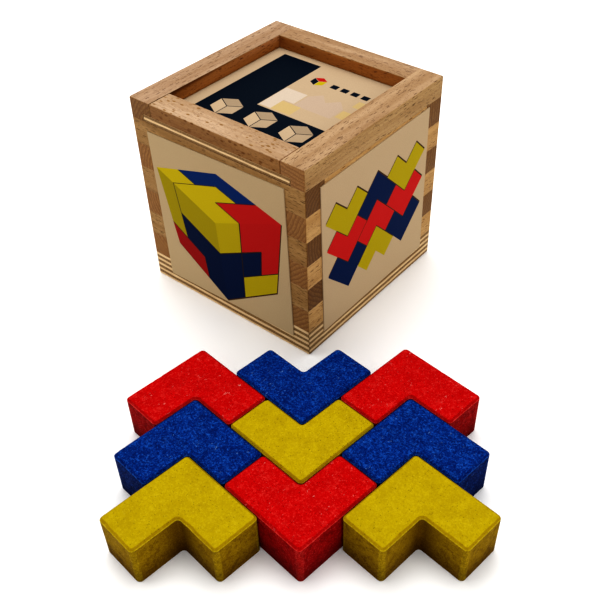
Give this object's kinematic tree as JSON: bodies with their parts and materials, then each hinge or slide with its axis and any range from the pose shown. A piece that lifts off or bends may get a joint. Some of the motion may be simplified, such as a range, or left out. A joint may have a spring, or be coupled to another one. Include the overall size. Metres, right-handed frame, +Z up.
{
  "type": "packing cube puzzle",
  "caption": "Packing cube puzzle: L-shaped coloured stone blocks that stack into a cube, laid out by their finger-jointed wooden storage box with a sliding lid.",
  "frame": {"origin": "centre of the underside of the wooden box, on the surface that everything stands on", "axes": "+Z up; -Y is the box's front, the way the lid slides out; +X is the right face, which carries the second wall label"},
  "size_m": [0.2648, 0.2769, 0.12],
  "materials": {
    "beech": "smooth sanded beech, oiled matt",
    "birch_plywood": "sanded plywood with its layers showing at the edges",
    "printed_card": "matt printed card",
    "red_stone": "fine sandy pressed mineral, matt",
    "blue_stone": "fine sandy pressed mineral, matt",
    "yellow_stone": "fine sandy pressed mineral, matt"
  },
  "bodies": {
    "box": {"base_plate": "birch_plywood", "front_wall": "beech", "back_wall": "beech", "left_wall": "beech", "right_wall": "beech", "left_top_rail": "beech", "right_top_rail": "beech", "back_top_rail": "beech", "front_label": "printed_card", "right_label": "printed_card"},
    "lid": {"lid_panel": "birch_plywood", "lid_front_rail": "beech", "lid_label": "printed_card"},
    "red_stone_left_body": {"red_stone_left": "red_stone"},
    "blue_stone_left_body": {"blue_stone_left": "blue_stone"},
    "yellow_stone_left_body": {"yellow_stone_left": "yellow_stone"},
    "blue_stone_middle_body": {"blue_stone_middle": "blue_stone"},
    "yellow_stone_middle_body": {"yellow_stone_middle": "yellow_stone"},
    "red_stone_middle_body": {"red_stone_middle": "red_stone"},
    "red_stone_right_body": {"red_stone_right": "red_stone"},
    "blue_stone_right_body": {"blue_stone_right": "blue_stone"},
    "yellow_stone_right_body": {"yellow_stone_right": "yellow_stone"}
  },
  "joints": [
    {"name": "lid_slide", "type": "slide", "parent": "box", "child": "lid", "axis": [0, -1, 0], "range_m": [0, 0.112]},
    {"name": "red_stone_left_lift", "type": "slide", "parent": "box", "child": "red_stone_left_body", "axis": [0, 0, 1], "range_m": [0, 0.13]},
    {"name": "blue_stone_left_lift", "type": "slide", "parent": "box", "child": "blue_stone_left_body", "axis": [0, 0, 1], "range_m": [0, 0.13]},
    {"name": "yellow_stone_left_lift", "type": "slide", "parent": "box", "child": "yellow_stone_left_body", "axis": [0, 0, 1], "range_m": [0, 0.13]},
    {"name": "blue_stone_middle_lift", "type": "slide", "parent": "box", "child": "blue_stone_middle_body", "axis": [0, 0, 1], "range_m": [0, 0.13]},
    {"name": "yellow_stone_middle_lift", "type": "slide", "parent": "box", "child": "yellow_stone_middle_body", "axis": [0, 0, 1], "range_m": [0, 0.13]},
    {"name": "red_stone_middle_lift", "type": "slide", "parent": "box", "child": "red_stone_middle_body", "axis": [0, 0, 1], "range_m": [0, 0.13]},
    {"name": "red_stone_right_lift", "type": "slide", "parent": "box", "child": "red_stone_right_body", "axis": [0, 0, 1], "range_m": [0, 0.13]},
    {"name": "blue_stone_right_lift", "type": "slide", "parent": "box", "child": "blue_stone_right_body", "axis": [0, 0, 1], "range_m": [0, 0.13]},
    {"name": "yellow_stone_right_lift", "type": "slide", "parent": "box", "child": "yellow_stone_right_body", "axis": [0, 0, 1], "range_m": [0, 0.13]}
  ]
}
